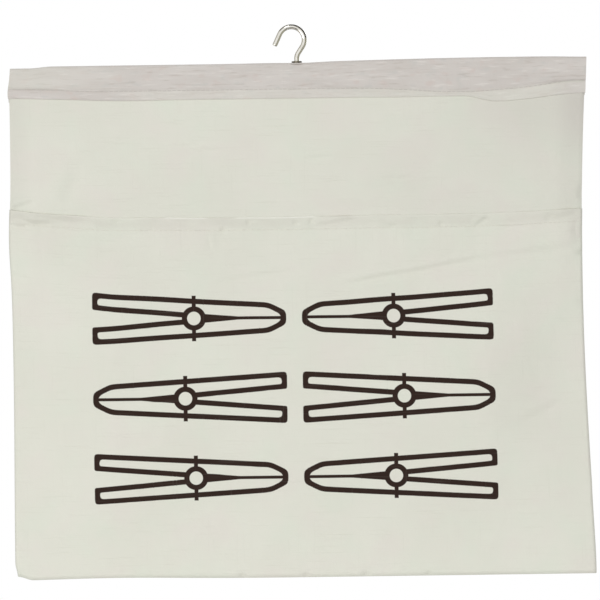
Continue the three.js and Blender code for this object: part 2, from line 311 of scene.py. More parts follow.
def turned_ring(name, profile, x, sides, finish):
    """A ring turned about the stem: its profile is a closed loop of radius and height."""
    points, faces = [], []
    count = len(profile)
    for side in range(sides):
        turn = 2 * pi * side / sides
        points += [(x + radius * cos(turn), radius * sin(turn), z) for radius, z in profile]
        for index in range(count):
            after = (index + 1) % count
            here, there = side * count, (side + 1) % sides * count
            faces.append((here + index, here + after, there + after, there + index))
    return make_piece(name, points, faces, finish)


ferrule_low, ferrule_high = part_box("hook_ferrule")
ferrule_foot = ferrule_low.z / MM
ferrule_top = ferrule_high.z / MM
flange_low = ferrule_top - flange_height
ferrule_profile = [
    (ferrule_bore, ferrule_foot),
    (ferrule_outer, ferrule_foot),
    (ferrule_outer, flange_low),
    (flange_radius - 0.2, flange_low),
    (flange_radius, flange_low + 0.15),
    (flange_radius, flange_low + 0.4),
    (flange_radius - 0.25, flange_low + 0.72),
    (ferrule_outer + 0.35, ferrule_top - 0.03),
    (ferrule_outer, ferrule_top),
    (ferrule_bore + 0.25, ferrule_top - 0.06),
    (ferrule_bore, ferrule_top - 0.35),
]
ferrule_finish = nickel("dull_nickel", ferrule_colour, ferrule_dull_colour, 0.3)
ferrule = turned_ring("ferrule_ring", ferrule_profile, stem_x, ferrule_sides, ferrule_finish)
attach(ferrule, "bag")
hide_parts("hook_ferrule")

# Washer: a small stamped disc of zinc plated steel below the bar. The riveted end of the hook
# turns on it, so that the wire can't pull up through the wood.
zinc_colour = (0.66, 0.67, 0.68, 1)
zinc_dull_colour = (0.5, 0.51, 0.53, 1)
washer_finish, start = new_finish("zinc_plate")
place = start.node("ShaderNodeTexCoord", output=3)
spangle = start.node("ShaderNodeTexVoronoi", None, {"Vector": place, "Scale": 900})
washer_inputs = {
    "Base Color": spangle.mix(zinc_dull_colour, zinc_colour),
    "Metallic": 1.0,
    "Roughness": 0.3 + place.noise(1500) * 0.2,
}
close_finish(start, washer_inputs)
washer_node = frame["nodes"]["hook_washer"]
washer_node.data.materials.clear()
washer_node.data.materials.append(washer_finish)

# Hanger bar: a planed softwood strip, sawn to length, with its edges eased. It lies loose in the
# casing, spreads the bag and carries it from the hook that is riveted through its middle.
early_wood = (0.6, 0.41, 0.23, 1)
late_wood = (0.4, 0.23, 0.1, 1)
bar_finish, start = new_finish("planed_softwood")
place = start.node("ShaderNodeTexCoord", output=3)
bands = place.stretch(9, 120, 120).noise(3.2, 3)
rings = (bands * 42).sine() * 0.5 + 0.5
pores = place.stretch(60, 1800, 1800).noise(1, 2).ease(0.56, 0.75)
bar_inputs = {
    "Base Color": (rings * 0.75 + pores * 0.25).mix(early_wood, late_wood),
    "Roughness": 0.6 + pores * 0.15,
    "Normal": (rings * 0.4 - pores).bump(0.3, 0.15),
}
close_finish(start, bar_inputs)
bar_node = frame["nodes"]["hanger_bar"]
bar_node.data.materials.clear()
bar_node.data.materials.append(bar_finish)

# Back panel: one layer of plain woven linen, cut square. Its sides and foot are sewn to the front
# in plain seams, and its upper edge is caught in the rear lap of the casing.
cloth = 0.45
linen_colour = (0.745, 0.745, 0.66, 1)
linen_shade = (0.67, 0.665, 0.58, 1)
linen_blush = (0.745, 0.7, 0.645, 1)
linen_green = (0.705, 0.745, 0.64, 1)
thread_pitch = 0.72
casing_low, casing_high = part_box("top_casing")
back_low, back_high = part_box("back_panel")
bag_middle = (casing_low.x + casing_high.x) / 2 / MM
half_width = (casing_high.x - casing_low.x) / 2 / MM
casing_top = casing_high.z / MM
bag_height = casing_top - back_low.z / MM
back_depth = (back_low.y + back_high.y) / 2 / MM
sewn_top = 14.0
seam_turn = 1.5
waist = 4.1
waist_end_share = 0.82
foot_share = 0.8
foot_flare = 2.3
right_peak = 2.1
left_droop = 1.1
droop_start = 157.0
droop_end = 173.0
left_spread = 0.3
left_top_in = 1.3
top_in_height = 18.0
left_waist = 0.7
left_waist_down = 205.0
left_waist_reach = 75.0
right_spread = 0.7
foot_lift = 1.2
foot_lift_across = -120.0
foot_lift_reach = 55.0
stitch_down = 16.9
stitch_bulge = 0.4
stitch_bulge_reach = 5.0
mouth_bulge = 1.3
mouth_bulge_down = 112.0
mouth_bulge_reach = 24.0
corner_size = 12.0
corner_in = 1.5
corner_up = 2.5
back_creases = [
    ((-128, 78), (-38, 54), 5, 1.8),
    ((34, 58), (132, 92), 6, 1.8),
    ((-152, 176), (-62, 204), 7, 1.6),
    ((22, 150), (84, 236), 7, 1.7),
    ((-66, 306), (-34, 252), 5, 1.3),
    ((104, 296), (150, 246), 6, 1.6),
]


def ease(low, high, value):
    share = min(max((value - low) / (high - low), 0), 1)
    return share * share * (3 - 2 * share)


def hump(value, middle, width):
    return exp(-(((value - middle) / width) ** 2))


def hung(across, depth, down):
    """A point of the bag, from the middle of the casing's top. All are in mm, and depth is to the back.

    The cloth hangs a little out of square: its right side is drawn in at the waist and flares at
    the foot, its left side bulges at the sewing, its upper left corner has dropped and is drawn in,
    and its lower left corner has turned up."""
    share = down / bag_height
    to_right = max(across / half_width, 0) ** 2
    to_left = max(-across / half_width, 0) ** 6
    to_right_edge = max(across / half_width, 0) ** 6
    at_foot = ease(foot_share, 1, share)
    draw = waist * sin(pi * min(share / waist_end_share, 1)) - foot_flare * at_foot
    bulge = stitch_bulge * hump(down, stitch_down, stitch_bulge_reach)
    bulge += mouth_bulge * hump(down, mouth_bulge_down, mouth_bulge_reach)
    peak = right_peak * (ease(-60, 130, across) - 0.25 * ease(155, half_width, across))
    peak *= 1 - hump(across, 0, 14)
    droop = left_droop * ease(droop_start, droop_end, -across)
    upper = 1 - ease(2, 20, down)
    corner = ease(half_width - corner_size, half_width, -across)
    corner *= ease(bag_height - corner_size, bag_height, down)
    lift = foot_lift * hump(across, foot_lift_across, foot_lift_reach) * at_foot
    x = bag_middle + across - to_right * draw - to_left * (left_spread + bulge) + corner_in * corner
    x += right_spread * to_right_edge
    x += left_waist * to_left * hump(down, left_waist_down, left_waist_reach)
    x += left_top_in * to_left * (1 - ease(0, top_in_height, down))
    z = casing_top - down + (peak - droop) * upper + corner_up * corner + lift
    return Vector((x, depth, z))


def rumple(along, down, seed):
    """How far cloth stands off its even shape: slow waves, soft dents and a few fine creases."""
    slow = noise.noise(Vector((along / 120, down / 135, seed)))
    soft = noise.noise(Vector((along / 38, down / 50, seed + 10)))
    fine = 1 - abs(noise.noise(Vector((along / 24, down / 30, seed + 20))))
    small = noise.noise(Vector((along / 13, down / 16, seed + 30)))
    return 1.1 * slow + 0.5 * soft + 0.1 * fine**8 + 0.12 * small


def creased(along, down, creases):
    """How far creases lift the cloth. Each is a ridge with a hollow beside it along a straight line,
    given by its start, end, width and height, and fades at both ends."""
    lift = 0
    for start, end, width, height in creases:
        line = Vector(end) - Vector(start)
        reach = Vector((along, down)) - Vector(start)
        share = reach.dot(line) / line.length_squared
        off = (reach.x * line.y - reach.y * line.x) / line.length / width
        fade = ease(-0.15, 0.2, share) * (1 - ease(0.75, 1.15, share))
        lift += height * fade * off * exp(-(off**2))
    return lift


def pucker(along, away, seed):
    """Small gathers that a row of stitches draws into the cloth beside it."""
    gather = noise.noise(Vector((along / 7, away / 60, seed)))
    wide = noise.noise(Vector((along / 18, away / 60, seed + 5)))
    return (0.3 * gather + 0.6 * wide) * exp(-abs(away) / 14)


def steps(low, high, spacing):
    """Even places from low to high, about spacing apart."""
    count = max(round(abs(high - low) / spacing), 1)
    return [low + (high - low) * index / count for index in range(count + 1)]


def sew(name, rows, flat_rows, thickness, finish, left_out=()):
    """Cloth of one thickness about a grid of points; flat_rows says where each lay on the flat cloth.

    Faces that touch a point in left_out, given by its row and column, aren't made."""
    width = len(rows[0])
    gaps = {row * width + column for row, column in left_out}
    mesh = bpy.data.meshes.new(name)
    faces = []
    for row in range(len(rows) - 1):
        for column in range(width - 1):
            first = row * width + column
            face = (first, first + 1, first + width + 1, first + width)
            if not gaps.intersection(face):
                faces.append(face)
    mesh.from_pydata([point * MM for row in rows for point in row], [], faces)
    flat = [place for row in flat_rows for place in row]
    flat_map = mesh.uv_layers.new(name="flat_cloth")
    for loop in mesh.loops:
        flat_map.data[loop.index].uv = Vector(flat[loop.vertex_index]) * MM
    piece = show(name, mesh, finish)
    thick = piece.modifiers.new("thickness", "SOLIDIFY")
    thick.thickness = thickness * MM
    thick.offset = 0
    whole = piece.evaluated_get(bpy.context.evaluated_depsgraph_get())
    piece.data = bpy.data.meshes.new_from_object(whole)
    piece.data.name = name
    piece.modifiers.clear()
    shade(piece.data, 55)
    return piece


def linen(name, tint=None):
    """Plain weave: over and under threads, thicker slubs along both ways and a slow blotchiness.

    Where tint is given, it takes the places along and down the flat cloth, in mm, the weave and the
    slubs there, and returns a mask and the colour to lay on the cloth."""
    material, start = new_finish(name)
    flat = start.node("ShaderNodeUVMap", {"uv_map": "flat_cloth"})
    along = start.node("ShaderNodeSeparateXYZ", None, {0: flat}) * 1000
    down = start.node("ShaderNodeSeparateXYZ", None, {0: flat}, output=1) * 1000
    drift = flat.noise(110, 1)
    turns = 2 * pi / thread_pitch
    weave = ((along + drift * 1.6) * turns).sine() * ((down + drift * 1.9) * turns).sine()
    weft_slubs = flat.stretch(30, 900, 0).noise(1, 2).ease(0.56, 0.78)
    warp_slubs = flat.stretch(900, 26, 0).shift(0, 0, 4).noise(1, 2).ease(0.6, 0.8)
    slubs = weft_slubs.most(warp_slubs * 0.8)
    blotch = flat.noise(16, 3).ease(0.3, 0.7)
    cast = flat.shift(3.1, 1.7, 0).noise(36, 2)
    body = (blotch * 0.28 + slubs * 0.3 + (1 - weave) * 0.06).mix(linen_colour, linen_shade)
    body = (cast.ease(0.48, 0.72) * 0.4).mix(body, linen_blush)
    body = ((1 - cast.ease(0.28, 0.5)) * 0.4).mix(body, linen_green)
    if tint:
        mask, laid = tint(start, along, down, weave, slubs)
        body = mask.mix(body, laid)
    inputs = {
        "Base Color": body,
        "Roughness": 0.86 - slubs * 0.1,
        "Specular IOR Level": 0.1,
        "Sheen Weight": 0.04,
        "Sheen Roughness": 0.6,
        "Normal": (weave * 0.35 + slubs * 0.8).bump(0.4, 0.25),
    }
    close_finish(start, inputs)
    return material


linen_finish = linen("natural_linen")
rows, flat_rows = [], []
for down in steps(sewn_top, bag_height, 2.5):
    row, flat_row = [], []
    for along in steps(-half_width, half_width, 2.5):
        from_side = half_width - abs(along)
        turn_in = seam_turn * (1 - ease(0, 2.5, from_side))
        across = along - turn_in * (1 if along > 0 else -1) * 1.2
        free = ease(0, 30, from_side) * ease(24, 60, down) * ease(0, 30, bag_height - down)
        wave = (abs(2.2 * rumple(along, down, 61)) + creased(along, down, back_creases)) * free
        wave += pucker(down, from_side, 70) * ease(0, 6, from_side)
        wave += pucker(along, down - stitch_down, 74) * ease(0, 6, from_side)
        depth = back_depth * ease(0, 3, from_side) + wave * ease(24, 40, down)
        row.append(hung(across, depth, down))
        flat_row.append((along, down))
    rows.append(row)
    flat_rows.append(flat_row)
back_cloth = sew("back_cloth", rows, flat_rows, cloth, linen_finish)
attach(back_cloth, "bag")
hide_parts("back_panel")

# Upper front panel: the same linen, hanging from the front lap of the casing and sewn into the side
# seams. Its lower edge is turned up once and hangs free behind the mouth of the pocket.
upper_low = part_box("upper_front_panel")[0]
upper_depth = -upper_low.y / MM - cloth / 2
under_lap = 2.95
lap_bulge = 1.0
lap_bulge_reach = 0.35
hang_reach = 70.0
behind_lip = 2.8
upper_foot = casing_top - upper_low.z / MM
lap_foot = 22.7
lap_sag = 3.2
lap_sag_along = 105.0
lap_sag_reach = 38.0
lap_jog = 3.6
lap_jog_end = 4.4
left_lap_rise = 2.3
right_lap_rise = 2.8
pocket_mouth = casing_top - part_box("pocket_front_panel")[1].z / MM
left_lip_rise = 7.0
right_lip_rise = 3.2
tuck = 1.0
hem_width = 9.0
hem_fold = 0.3
side_round = 1.5
upper_edge_depth = 2.3
lap_edge_depth = 1.3
lip_edge_depth = 1.1
upper_edge_reach = 20.0
hem_stitch = 7.8
# Colour of the painted shade on the upper panel's right side, its upper right corner and its left edge.
painted_side_shade_colour = (0.6, 0.575, 0.525, 1)
upper_creases = [
    ((-153, 89), (-143, 63), 6.5, 1.1),
    ((4, 60), (22, 60), 1.6, 0.8),
    ((54, 74), (74, 74), 1.6, 0.6),
    ((-68, 54), (-49, 54), 1.6, 0.7),
    ((-53, 72), (-52, 82), 1.8, 0.5),
    ((-184, 91), (-171, 86), 2.4, 1.5),
]
upper_gathers = [(86, 5, 6, 1.2)]


def round_side(along, half, radius, depth):
    """Across and the share of its depth for a place along a front panel, whose sides turn back."""
    flat = half - radius
    turned = (pi / 2) * (radius + depth) / 2
    angle = min(max((abs(along) - flat) / turned, 0), 1) * pi / 2
    inward = seam_turn * ease(0.82, 1, angle / (pi / 2))
    across = min(abs(along), flat) + radius * sin(angle) - inward
    return (across if along > 0 else -across), cos(angle)


def half_girth(half, radius, depth):
    """The length along a front panel from its middle to its side seam."""
    return half - radius + (pi / 2) * (radius + depth) / 2


def fold(place):
    """Height above a fold and depth behind the face, for a place from the fold along the cloth."""
    quarter = hem_fold * pi / 2
    angle = min(max(place / quarter, -1), 1) * pi / 2
    straight = max(abs(place) - quarter, 0)
    return hem_fold * (1 - cos(angle)) + straight, hem_fold * (1 - sin(angle))


def fold_steps(spacing, end):
    """Places along a cloth from the raw edge of its hem, round the fold and on to its other end."""
    quarter = hem_fold * pi / 2
    round_fold = steps(-quarter, quarter, quarter / 3)[1:]
    return steps(-hem_width, -quarter, 1.5) + round_fold + steps(quarter, end, spacing)[1:]


def gathered(along, down, from_side, gathers):
    """How far the right side seam draws the cloth beside it back, at each of its gathers."""
    if along < 0:
        return 0
    drawn = 0
    for middle, size, reach, depth in gathers:
        drawn += depth * hump(down, middle, size) * (1 - ease(3, reach, from_side))
    return drawn


def lap_sewing(along):
    """How far down the front lap is sewn. The row sags at the right and rises towards both ends."""
    ends = right_lap_rise * ease(140, half_width, along) + left_lap_rise * ease(120, half_width, -along)
    return stitch_down + lap_sag * hump(along, lap_sag_along, lap_sag_reach) - ends


def lap_edge(along):
    """How far down the lower edge of the front lap is. It jogs down at the right, where it is wider."""
    jog = lap_jog * ease(108, 128, along) - lap_jog_end * ease(128, half_width, along)
    wander = 0.5 * noise.noise(Vector((along / 40, 2, 90)))
    return lap_foot + jog + wander - left_lap_rise * ease(120, half_width, -along)


def lip_edge(along):
    """How far down the lip of the pocket is. It is drawn up towards both side seams."""
    rise = left_lip_rise if along < 0 else right_lip_rise
    wander = 0.8 * noise.noise(Vector((along / 34, 0, 33)))
    return pocket_mouth - rise * (abs(along) / half_width) ** 4 - wander


def upper_point(share, height, behind):
    """A point of the upper panel, by its share of the way from the middle to a side and mm above its
    foot, and its place along the panel."""
    down = upper_foot - height
    above_lip = lip_edge(share * half_width) - down
    half = half_width - cloth / 2 - tuck * (1 - ease(-2, 1, above_lip))
    girth = half_girth(half, side_round, upper_edge_depth)
    along = share * girth
    across, out = round_side(along, half, side_round, upper_edge_depth)
    from_side = girth - abs(along)
    below_lap = max(down - lap_edge(along) + 0.1, 0)
    bulge = lap_bulge * (1 - exp(-below_lap / lap_bulge_reach))
    depth = under_lap + bulge
    depth += (upper_depth - depth) * ease(0, hang_reach, below_lap)
    depth -= behind_lip * (1 - ease(-3, 0.9, above_lip))
    edge_depth = upper_edge_depth + lap_edge_depth * (1 - ease(0, 25, below_lap))
    edge_depth += lip_edge_depth * ease(45, 85, down)
    depth = edge_depth + (depth - edge_depth) * ease(0, upper_edge_reach, from_side)
    wave = 1.2 * rumple(along, down, 3) * ease(0, 26, from_side) * ease(24, 60, down)
    wave += pucker(along, down - stitch_down, 8) * ease(22, 27, down) * ease(0, 12, from_side)
    wave += pucker(down, from_side, 12) * ease(0, 8, from_side) * ease(24, 40, down)
    wave += creased(along, down, upper_creases)
    wave *= 1 - ease(pocket_mouth - 12, pocket_mouth - 3, down)
    wave -= gathered(along, down, from_side, upper_gathers)
    return hung(across, -(depth + wave - behind) * out, down), along


def painted_side_shade(start, along, place, weave, slubs):
    """Painted shade: the right side is greyed a little darker, as the light falls off towards it, and its
    upper corner more, most of all close to the seam. The left edge, where it turns back, has painted shade
    too."""
    down = upper_foot - place
    # Painted shade mask: darker towards the right and the upper right corner, and at the left edge.
    mask = (along.ease(95, 160) * 0.3 + along.ease(160, 180) * 0.35) * (1 - down.ease(26, 75))
    return mask + along.ease(0, 110) * 0.12 + (-along).ease(166, 182) * 0.25, painted_side_shade_colour


upper_finish = linen("upper_linen", painted_side_shade)
rows, flat_rows = [], []
below_lip = upper_foot - pocket_mouth - 3
above_lip = upper_foot - pocket_mouth + 10
near_lap = upper_foot - lap_foot - 6
upper_places = fold_steps(1.8, below_lip) + steps(below_lip, above_lip, 0.4)[1:]
upper_places += steps(above_lip, near_lap, 0.9)[1:] + steps(near_lap, upper_foot - sewn_top, 0.45)[1:]
for place in upper_places:
    height, behind = fold(place)
    row, flat_row = [], []
    for share in steps(-1, 1, 1 / 105):
        point, along = upper_point(share, height, behind)
        row.append(point)
        flat_row.append((along, place))
    rows.append(row)
    flat_rows.append(flat_row)
upper_cloth = sew("upper_front_cloth", rows, flat_rows, cloth, upper_finish)
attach(upper_cloth, "bag")
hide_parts("upper_front_panel", "upper_panel_hem")
upper_girth = half_girth(half_width - cloth / 2, side_round, upper_edge_depth)
upper_flat = (2 * upper_girth * MM, (upper_foot - sewn_top + hem_width) * MM)

# Pocket front: the same linen, printed before sewing. Its upper edge is hemmed as the lip of the
# mouth, its sides and foot are sewn to the back, and it bags out in the middle to take the pegs.
pocket_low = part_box("pocket_front_panel")[0]
pocket_depth = -pocket_low.y / MM - cloth / 2
pocket_edge_depth = 4.2
pocket_swell = 75.0
foot_round = 2.5
foot_swell = 120.0
lip_depth = upper_depth + 0.15
lip_reach = 20.0
lip_stand = 0.6
lip_height = 110.0
hem_dip = 0.6
left_hem_dip = 0.7
print_middle_along = -4.0
print_middle_down = 115.3
peg_pitch = 134.0
peg_row_pitch = 51.0
peg_half_length = 62.0
peg_half_height = 12.8
coil_place = 3.0
coil_radius = 6.0
slit_middle = 35.0
slit_half = 25.0
arm_half_width = 1.3
arm_middle = 10.5
arm_half_length = 4.0
ink_line = 3.4
ink_colour = (0.027, 0.0135, 0.0095, 1)
# Colour of the painted shade on the hem of the lip.
hem_shade_colour = (0.66, 0.65, 0.575, 1)
# Colour of the painted highlight along the fold of the lip.
painted_highlight_colour = (0.93, 0.93, 0.87, 1)
pocket_creases = [
    ((28, 42), (118, 27), 2.8, 1.9),
    ((-52, 39.5), (-8, 33.5), 2.6, 0.8),
    ((-57, 9), (-56, 20), 1.8, 0.7),
    ((120, 27), (178, 22), 3.6, 0.9),
    ((138, 132), (168, 118), 3.6, 0.9),
    ((11, 5), (37, 0), 2.2, 1.3),
    ((113, 7), (122, 1.5), 2.0, 1.4),
    ((128, 8.5), (148, 8.5), 1.8, 0.7),
    ((-128, 11), (-96, 9), 2.4, 0.8),
    ((-182, 3), (-150, 8), 2.4, 0.7),
    ((-184, 8.5), (-173, 8.5), 1.8, 1.6),
    ((-174, 5.5), (-158, 4.5), 1.8, 1.5),
    ((-176, 1.2), (-134, 2.2), 2.6, 1.3),
    ((158, 6), (182, 1), 2.4, 0.7),
]
lip_tucks = [
    (-117, 2.0, 2.6, 1.2),
    (-49, 7.8, 1.6, 1.3),
    (-32, 3.0, 1.5, 1.2),
    (-2, 4.0, 1.5, 1.2),
    (8, 3.0, 1.4, 1.2),
    (60, 7.0, 3.0, 0.9),
    (92, 6.0, 1.6, 1.1),
    (163, 3.5, 3.0, 1.0),
]
pocket_gathers = [(14, 9, 13, 2.4), (28, 2.2, 9, 1.7), (58, 4, 9, 0.8)]
foot_tucks = [-39, 2, 40, 80]
foot_tuck_width = 2.4
foot_tuck_height = 2.2
foot_tuck_depth = 2.2
pocket_half = half_width - cloth / 2
pocket_girth = half_girth(pocket_half, side_round, pocket_edge_depth)
foot_flat = bag_height - pocket_mouth - foot_round
foot_turned = (pi / 2) * (foot_round + pocket_edge_depth) / 2


def pocket_point(along, place, behind):
    """A point of the pocket front: along it from the middle, and down it from the lip."""
    across, out = round_side(along, pocket_half, side_round, pocket_edge_depth)
    turn = max(place - foot_flat, 0) / foot_turned * pi / 2
    from_mouth = min(place, foot_flat) + foot_round * sin(turn)
    from_side = pocket_girth - abs(along)
    full = (pocket_depth - pocket_edge_depth) * ease(0, pocket_swell, from_side)
    full *= ease(0, foot_swell, foot_flat - place)
    at_lip = (lip_depth - pocket_edge_depth) * ease(0, lip_reach, from_side)
    swell = at_lip + (full - at_lip) * ease(0, lip_height, place)
    rise = pocket_mouth - lip_edge(along)
    at_lip += lip_stand * (hump(along, -74, 11) + hump(along, -15, 24)) * (1 - ease(0, 12, place))
    dip = (hem_dip + left_hem_dip * ease(125, 172, -along)) * hump(place, hem_stitch, 4.5)
    wave = 1.5 * rumple(along, place, 40) * ease(0, 34, from_side) * ease(0, 30, place)
    wave += max(1.2 * pucker(along, place - hem_stitch, 44), -0.2) * ease(0, 14, from_side)
    wave += pucker(place, from_side, 48) * ease(0, 9, from_side) * ease(0, 20, place)
    wave += creased(along, place, pocket_creases)
    for middle, drop, size, depth in lip_tucks:
        wave -= depth * hump(along, middle, size) * hump(place, drop, 1.6)
    at_foot = foot_tuck_depth * hump(place, foot_flat + 1.5, foot_tuck_height)
    wave -= at_foot * sum(hump(along, middle, foot_tuck_width) for middle in foot_tucks)
    wave -= gathered(along, place, from_side, pocket_gathers)
    down = pocket_mouth + from_mouth - rise * (1 - ease(0, 130, place))
    depth = pocket_edge_depth + swell + wave - dip * ease(0, 14, from_side) - behind
    return hung(across, -depth * out * cos(turn), down)


def peg_outlines(start, along, down, weave, slubs):
    """Printed outlines of spring pegs that lie in rows, every other one turned round, in one dark ink.

    Each peg has two legs that part beyond a coil, with a slit between its jaws. The ink fills a line of
    even width inside its edge. The hem above them, where the cloth lies double, has painted shade in
    clouds, darker at its left end. A painted highlight lightens its fold in two places, and more weakly
    beyond them, where the fold catches the light."""
    across = along - print_middle_along
    below = down - print_middle_down
    column = (across / peg_pitch).floor()
    row = (below / peg_row_pitch + 0.5).floor()
    turned = 1 - ((column + row) / 2).fraction() * 4
    x = (across - (column + 0.5) * peg_pitch) * turned
    y = abs(below - row * peg_row_pitch)
    side = y - peg_half_height + x * 0.06
    jaw = y * 0.9 - 3.8 + (x - peg_half_length) * 0.45
    end = abs(x) - peg_half_length
    gap = (coil_place - x) * 0.085 - y
    shape = side.round_most(jaw, 2).round_most(end, 4).round_most(gap, 2)
    ragged = shape + weave * 0.1 + slubs * 0.2
    edge = abs(ragged + ink_line / 2) - ink_line / 2
    slit = (y - 1).most(abs(x - slit_middle) - slit_half)
    from_coil = ((x - coil_place) * (x - coil_place) + y * y).root() - coil_radius
    coil = abs(from_coil) - ink_line / 2
    arms = (abs(x - coil_place) - arm_half_width).most(abs(y - arm_middle) - arm_half_length)
    line = edge.least(slit).least(arms).most(-from_coil).least(coil)
    in_columns = across.math("LESS_THAN", abs(across), peg_pitch)
    in_rows = below.math("LESS_THAN", abs(below), 1.5 * peg_row_pitch)
    ink = (1 - line.ease(-0.2, 0.2)) * in_columns * in_rows * (1 - slubs * 0.03 - (1 - weave) * 0.004)
    clouds = start.node("ShaderNodeCombineXYZ", None, {0: along * 0.05, 1: down * 0.1}).noise(1, 2)
    # Painted shade on the hem, in clouds, darker at its left end.
    hem_shade_tone = clouds.ease(0.3, 0.7) * 0.45 + 0.15 + (-along).ease(150, 172) * 0.25
    hem = (1 - down.ease(4, 9.5)) * hem_shade_tone
    # Painted highlight on the lip's fold, where it catches the light, strongest in two places.
    fold_highlight = along.ease(-90, -84) * (1 - along.ease(-62, -56))
    fold_highlight = fold_highlight + along.ease(-43, -38) * (1 - along.ease(8, 14))
    left_highlight = along.ease(-155, -125) * (1 - along.ease(-100, -92))
    right_highlight = along.ease(20, 40) * (1 - along.ease(130, 165))
    fold_highlight = (fold_highlight + left_highlight * 0.5 + right_highlight * 0.4) * (1 - abs(down).ease(0.4, 1.1)) * 0.7
    laid = in_rows.mix(fold_highlight.mix(hem_shade_colour, painted_highlight_colour), ink_colour)
    return ink.most(hem).most(fold_highlight), laid


printed_finish = linen("printed_linen", peg_outlines)
rows, flat_rows = [], []
hem_end = 46.0
foot_start = foot_flat - 8
pocket_places = fold_steps(0.9, hem_end) + steps(hem_end, foot_start, 2.2)[1:]
pocket_places += steps(foot_start, foot_flat + foot_turned, 0.9)[1:]
for place in pocket_places:
    height, behind = fold(place)
    row, flat_row = [], []
    for share in steps(-1, 1, 1 / 150):
        along = share * pocket_girth
        row.append(pocket_point(along, height, behind))
        flat_row.append((along, place))
    rows.append(row)
    flat_rows.append(flat_row)
pocket_cloth = sew("pocket_front_cloth", rows, flat_rows, cloth, printed_finish)


def open_mouth(piece):
    """The piece is held at both side seams and moves most in the middle, where a hand draws it open."""
    seam = (bag_middle - half_width) * MM
    middle = bag_middle * MM
    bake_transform(piece, "bag", "pocket_front", start=(seam, 0, 0), end=(middle, 0, 0))
    shares = piece.data.attributes["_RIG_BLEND"].data
    for point in piece.data.vertices:
        off = abs(point.co.x - middle) / (half_width * MM)
        shares[point.index].value = 1 - ease(0, 1, off)


open_mouth(pocket_cloth)
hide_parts("pocket_front_panel", "pocket_mouth_hem")
pocket_flat = (2 * pocket_girth * MM, (hem_width + foot_flat + foot_turned) * MM)

# Hem stitching: a row of plain machine stitches in spun thread holds down the hem of the lip, and
# another the hem of the upper panel. Each stitch dips into the cloth at both ends, and the thread
# below shows the same row inside.
stitch_pitch = 3.1
stitch_length = 2.5
thread_radius = 0.17
thread_sides = 6
thread_colour = (0.78, 0.77, 0.69, 1)
thread_dark_colour = (0.68, 0.66, 0.58, 1)
stitch_profile = [
    (-0.5, -0.35, 0.6),
    (-0.42, 0.05, 0.95),
    (-0.2, 0.32, 1),
    (0.2, 0.32, 1),
    (0.42, 0.05, 0.95),
    (0.5, -0.35, 0.6),
]
to_front = Vector((0, -1, 0))
to_back = Vector((0, 1, 0))


def spun_thread(name, light, dark):
    material, start = new_finish(name)
    place = start.node("ShaderNodeTexCoord", output=3)
    twist = place.noise(1400, 2)
    inputs = {
        "Base Color": twist.mix(light, dark),
        "Roughness": 0.7 + twist * 0.2,
        "Sheen Weight": 0.2,
    }
    close_finish(start, inputs)
    return material


def stitch_row(name, places, surface, out, finish):
    """A row of stitches at places along a line. surface gives a point of the cloth for a place."""
    points, faces = [], []
    for place in places:
        first = len(points)
        for share, lift, fullness in stitch_profile:
            centre = surface(place + share * stitch_length)
            ahead = surface(place + share * stitch_length + 0.2) - centre
            side = ahead.normalized().cross(out)
            centre = centre + out * (cloth / 2 + lift * thread_radius)
            for index in range(thread_sides):
                turn = 2 * pi * index / thread_sides
                ring = side * cos(turn) + out * sin(turn)
                points.append(centre + ring * thread_radius * fullness)
        for face in join_rings(len(stitch_profile), thread_sides):
            faces.append(tuple(first + corner for corner in face))
    stitches = make_piece(name, points, faces, finish, 80)
    return stitches


def lip_front(along):
    return pocket_point(along, hem_stitch, 0)


def lip_inside(along):
    return pocket_point(along, hem_stitch, 2 * hem_fold)


def upper_hem_front(along):
    return upper_point(along / upper_girth, hem_stitch, 0)[0]


thread_finish = spun_thread("pale_thread", thread_colour, thread_dark_colour)
lip_places = steps(-pocket_girth + 9, pocket_girth - 9, stitch_pitch)
open_mouth(stitch_row("mouth_stitches", lip_places, lip_front, to_front, thread_finish))
open_mouth(stitch_row("mouth_inside_stitches", lip_places, lip_inside, to_back, thread_finish))
hem_places = lip_places[2:-2]
upper_stitches = stitch_row("upper_hem_stitches", hem_places, upper_hem_front, to_front, thread_finish)
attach(upper_stitches, "bag")

# Seam allowances: the raw edges of front and back, sewn together and left inside the bag. Each is
# a narrow double strip of the linen that stands in from its seam.
allowance = 10.5
allowance_cloth = 1.0
allowance_start = 1.6
allowance_depth = -1.15
strip_spacing = 2.9


def seam_strip(name, node, length, point):
    """A double strip of cloth along a seam. point takes a share along it and mm in from the seam."""
    rows, flat_rows = [], []
    for share in steps(0, 1, strip_spacing / length):
        row, flat_row = [], []
        for inward in steps(allowance_start, allowance_start + allowance, 2.1):
            row.append(point(share, inward))
            flat_row.append((inward, share * length))
        rows.append(row)
        flat_rows.append(flat_row)
    strip = sew(name, rows, flat_rows, allowance_cloth, linen_finish)
    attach(strip, "bag")
    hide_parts(node)


seam_low, seam_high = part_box("left_side_seam")
seam_top = casing_top - seam_high.z / MM
seam_foot = casing_top - seam_low.z / MM


def side_point(side, share, inward):
    down = seam_top + (seam_foot - seam_top) * share
    sway = 0.35 * noise.noise(Vector((down / 20, inward / 12, 80 + side))) * ease(2, 8, inward)
    return hung(side * (half_width - inward), allowance_depth + sway, down)


def left_point(share, inward):
    return side_point(-1, share, inward)


def right_point(share, inward):
    return side_point(1, share, inward)


def foot_point(share, inward):
    across = (share * 2 - 1) * foot_half
    sway = 0.35 * noise.noise(Vector((across / 20, inward / 12, 85))) * ease(2, 8, inward)
    return hung(across, allowance_depth + sway, bag_height - inward)


foot_half = half_width - 16
seam_strip("left_seam_allowance", "left_side_seam", seam_foot - seam_top, left_point)
seam_strip("right_seam_allowance", "right_side_seam", seam_foot - seam_top, right_point)
seam_strip("bottom_seam_allowance", "bottom_seam", 2 * foot_half, foot_point)

